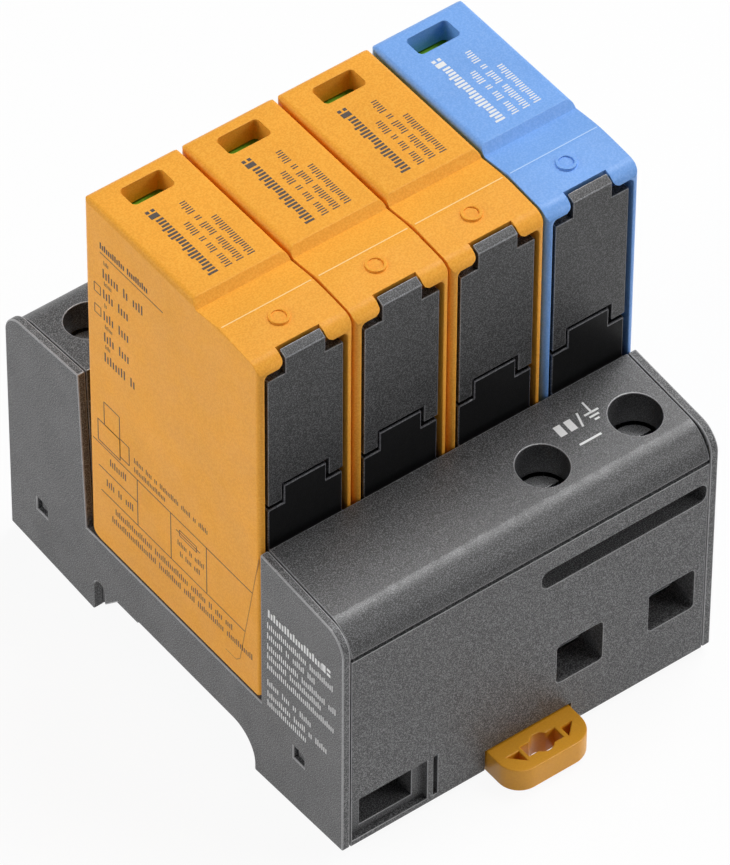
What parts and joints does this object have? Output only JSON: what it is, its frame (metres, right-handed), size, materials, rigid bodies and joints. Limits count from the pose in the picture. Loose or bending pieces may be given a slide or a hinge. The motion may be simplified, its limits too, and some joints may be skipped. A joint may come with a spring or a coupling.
{
  "type": "din rail surge arrester",
  "caption": "Pluggable surge arrester for a mounting rail: a base with screw clamps at both ends and a row of plug-in modules, each with a release lever and a state flag.",
  "frame": {"origin": "on the mounting rail's centre line, midway along the base, level with the tips of its two legs", "axes": "+X along the rail from the first plug to the blue one, -Y to the front with the rail foot, +Z away from the rail towards the tops of the plugs"},
  "size_m": [0.072, 0.094, 0.091],
  "materials": {
    "base_grey": "fine spark-eroded moulded plastic",
    "lever_black": "grained moulded plastic",
    "plug_orange": "satin moulded plastic",
    "plug_blue": "satin moulded plastic",
    "foot_orange": "smooth moulded plastic",
    "flag_green": "smooth moulded plastic",
    "copper": "rolled copper",
    "screw_steel": "zinc plated steel",
    "cage_steel": "zinc plated steel",
    "varistor_coating": "epoxy dip coating",
    "spark_gap_ceramic": "glazed ceramic"
  },
  "bodies": {
    "base": {"base_housing": "base_grey", "left_side_cover": "base_grey", "right_side_cover": "base_grey", "front_hood": "base_grey", "back_hood": "base_grey", "plug_catches": "lever_black", "line_1_bar": "copper", "line_2_bar": "copper", "line_3_bar": "copper", "neutral_bus": "copper", "earth_bar": "copper"},
    "foot": {"rail_foot": "foot_orange"},
    "line_1_screw": {"line_1_screw": "screw_steel"},
    "line_1_cage": {"line_1_cage": "cage_steel"},
    "line_2_screw": {"line_2_screw": "screw_steel"},
    "line_2_cage": {"line_2_cage": "cage_steel"},
    "line_3_screw": {"line_3_screw": "screw_steel"},
    "line_3_cage": {"line_3_cage": "cage_steel"},
    "neutral_screw": {"neutral_screw": "screw_steel"},
    "neutral_cage": {"neutral_cage": "cage_steel"},
    "earth_1_screw": {"earth_1_screw": "screw_steel"},
    "earth_1_cage": {"earth_1_cage": "cage_steel"},
    "earth_2_screw": {"earth_2_screw": "screw_steel"},
    "earth_2_cage": {"earth_2_cage": "cage_steel"},
    "plug_1": {"plug_1_housing": "plug_orange", "plug_1_bottom": "lever_black", "plug_1_blades": "copper", "plug_1_spring": "cage_steel", "plug_1_varistor": "varistor_coating"},
    "lever_1": {"plug_1_lever": "lever_black"},
    "flag_1": {"plug_1_flag": "flag_green"},
    "plug_2": {"plug_2_housing": "plug_orange", "plug_2_bottom": "lever_black", "plug_2_blades": "copper", "plug_2_spring": "cage_steel", "plug_2_varistor": "varistor_coating"},
    "lever_2": {"plug_2_lever": "lever_black"},
    "flag_2": {"plug_2_flag": "flag_green"},
    "plug_3": {"plug_3_housing": "plug_orange", "plug_3_bottom": "lever_black", "plug_3_blades": "copper", "plug_3_spring": "cage_steel", "plug_3_varistor": "varistor_coating"},
    "lever_3": {"plug_3_lever": "lever_black"},
    "flag_3": {"plug_3_flag": "flag_green"},
    "plug_4": {"plug_4_housing": "plug_blue", "plug_4_bottom": "lever_black", "plug_4_blades": "copper", "plug_4_spring": "cage_steel", "plug_4_spark_gap": "spark_gap_ceramic"},
    "lever_4": {"plug_4_lever": "lever_black"},
    "flag_4": {"plug_4_flag": "flag_green"}
  },
  "joints": [
    {"name": "foot_slide", "type": "slide", "parent": "base", "child": "foot", "axis": [0, -1, 0], "range_m": [0, 0.0035], "stiffness_N_per_m": 4000, "springref_m": -0.001},
    {"name": "line_1_screw_turn", "type": "hinge", "parent": "base", "child": "line_1_screw", "pos_m": [-0.027, 0.03315, 0.04], "axis": [0, 0, -1], "range_deg": [0, 3690]},
    {"name": "line_1_cage_lift", "type": "slide", "parent": "base", "child": "line_1_cage", "axis": [0, 0, 1], "range_m": [0, 0.0082]},
    {"name": "line_2_screw_turn", "type": "hinge", "parent": "base", "child": "line_2_screw", "pos_m": [-0.009, 0.03315, 0.04], "axis": [0, 0, -1], "range_deg": [0, 3690]},
    {"name": "line_2_cage_lift", "type": "slide", "parent": "base", "child": "line_2_cage", "axis": [0, 0, 1], "range_m": [0, 0.0082]},
    {"name": "line_3_screw_turn", "type": "hinge", "parent": "base", "child": "line_3_screw", "pos_m": [0.009, 0.03315, 0.04], "axis": [0, 0, -1], "range_deg": [0, 3690]},
    {"name": "line_3_cage_lift", "type": "slide", "parent": "base", "child": "line_3_cage", "axis": [0, 0, 1], "range_m": [0, 0.0082]},
    {"name": "neutral_screw_turn", "type": "hinge", "parent": "base", "child": "neutral_screw", "pos_m": [0.027, 0.03315, 0.04], "axis": [0, 0, -1], "range_deg": [0, 3690]},
    {"name": "neutral_cage_lift", "type": "slide", "parent": "base", "child": "neutral_cage", "axis": [0, 0, 1], "range_m": [0, 0.0082]},
    {"name": "earth_1_screw_turn", "type": "hinge", "parent": "base", "child": "earth_1_screw", "pos_m": [0.0098, -0.03315, 0.04], "axis": [0, 0, -1], "range_deg": [0, 3690]},
    {"name": "earth_1_cage_lift", "type": "slide", "parent": "base", "child": "earth_1_cage", "axis": [0, 0, 1], "range_m": [0, 0.0082]},
    {"name": "earth_2_screw_turn", "type": "hinge", "parent": "base", "child": "earth_2_screw", "pos_m": [0.0278, -0.03315, 0.04], "axis": [0, 0, -1], "range_deg": [0, 3690]},
    {"name": "earth_2_cage_lift", "type": "slide", "parent": "base", "child": "earth_2_cage", "axis": [0, 0, 1], "range_m": [0, 0.0082]},
    {"name": "plug_1_pull", "type": "slide", "parent": "base", "child": "plug_1", "axis": [0, 0, 1], "range_m": [0, 0.06]},
    {"name": "lever_1_tilt", "type": "hinge", "parent": "plug_1", "child": "lever_1", "pos_m": [-0.027, -0.0194, 0.0642], "axis": [1, 0, 0], "range_deg": [0, 12], "stiffness_Nm_per_rad": 0.02, "springref_deg": -2.86},
    {"name": "flag_1_slide", "type": "slide", "parent": "plug_1", "child": "flag_1", "axis": [0, -1, 0], "range_m": [0, 0.0055]},
    {"name": "plug_2_pull", "type": "slide", "parent": "base", "child": "plug_2", "axis": [0, 0, 1], "range_m": [0, 0.06]},
    {"name": "lever_2_tilt", "type": "hinge", "parent": "plug_2", "child": "lever_2", "pos_m": [-0.009, -0.0194, 0.0642], "axis": [1, 0, 0], "range_deg": [0, 12], "stiffness_Nm_per_rad": 0.02, "springref_deg": -2.86},
    {"name": "flag_2_slide", "type": "slide", "parent": "plug_2", "child": "flag_2", "axis": [0, -1, 0], "range_m": [0, 0.0055]},
    {"name": "plug_3_pull", "type": "slide", "parent": "base", "child": "plug_3", "axis": [0, 0, 1], "range_m": [0, 0.06]},
    {"name": "lever_3_tilt", "type": "hinge", "parent": "plug_3", "child": "lever_3", "pos_m": [0.009, -0.0194, 0.0642], "axis": [1, 0, 0], "range_deg": [0, 12], "stiffness_Nm_per_rad": 0.02, "springref_deg": -2.86},
    {"name": "flag_3_slide", "type": "slide", "parent": "plug_3", "child": "flag_3", "axis": [0, -1, 0], "range_m": [0, 0.0055]},
    {"name": "plug_4_pull", "type": "slide", "parent": "base", "child": "plug_4", "axis": [0, 0, 1], "range_m": [0, 0.06]},
    {"name": "lever_4_tilt", "type": "hinge", "parent": "plug_4", "child": "lever_4", "pos_m": [0.027, -0.0194, 0.0642], "axis": [1, 0, 0], "range_deg": [0, 12], "stiffness_Nm_per_rad": 0.02, "springref_deg": -2.86},
    {"name": "flag_4_slide", "type": "slide", "parent": "plug_4", "child": "flag_4", "axis": [0, -1, 0], "range_m": [0, 0.0055]}
  ],
  "couplings": [
    {"joint": "line_1_screw_turn", "follows": "line_1_cage_lift", "rad_per_m": 7853.9},
    {"joint": "line_2_screw_turn", "follows": "line_2_cage_lift", "rad_per_m": 7853.9},
    {"joint": "line_3_screw_turn", "follows": "line_3_cage_lift", "rad_per_m": 7853.9},
    {"joint": "neutral_screw_turn", "follows": "neutral_cage_lift", "rad_per_m": 7853.9},
    {"joint": "earth_1_screw_turn", "follows": "earth_1_cage_lift", "rad_per_m": 7853.9},
    {"joint": "earth_2_screw_turn", "follows": "earth_2_cage_lift", "rad_per_m": 7853.9}
  ]
}
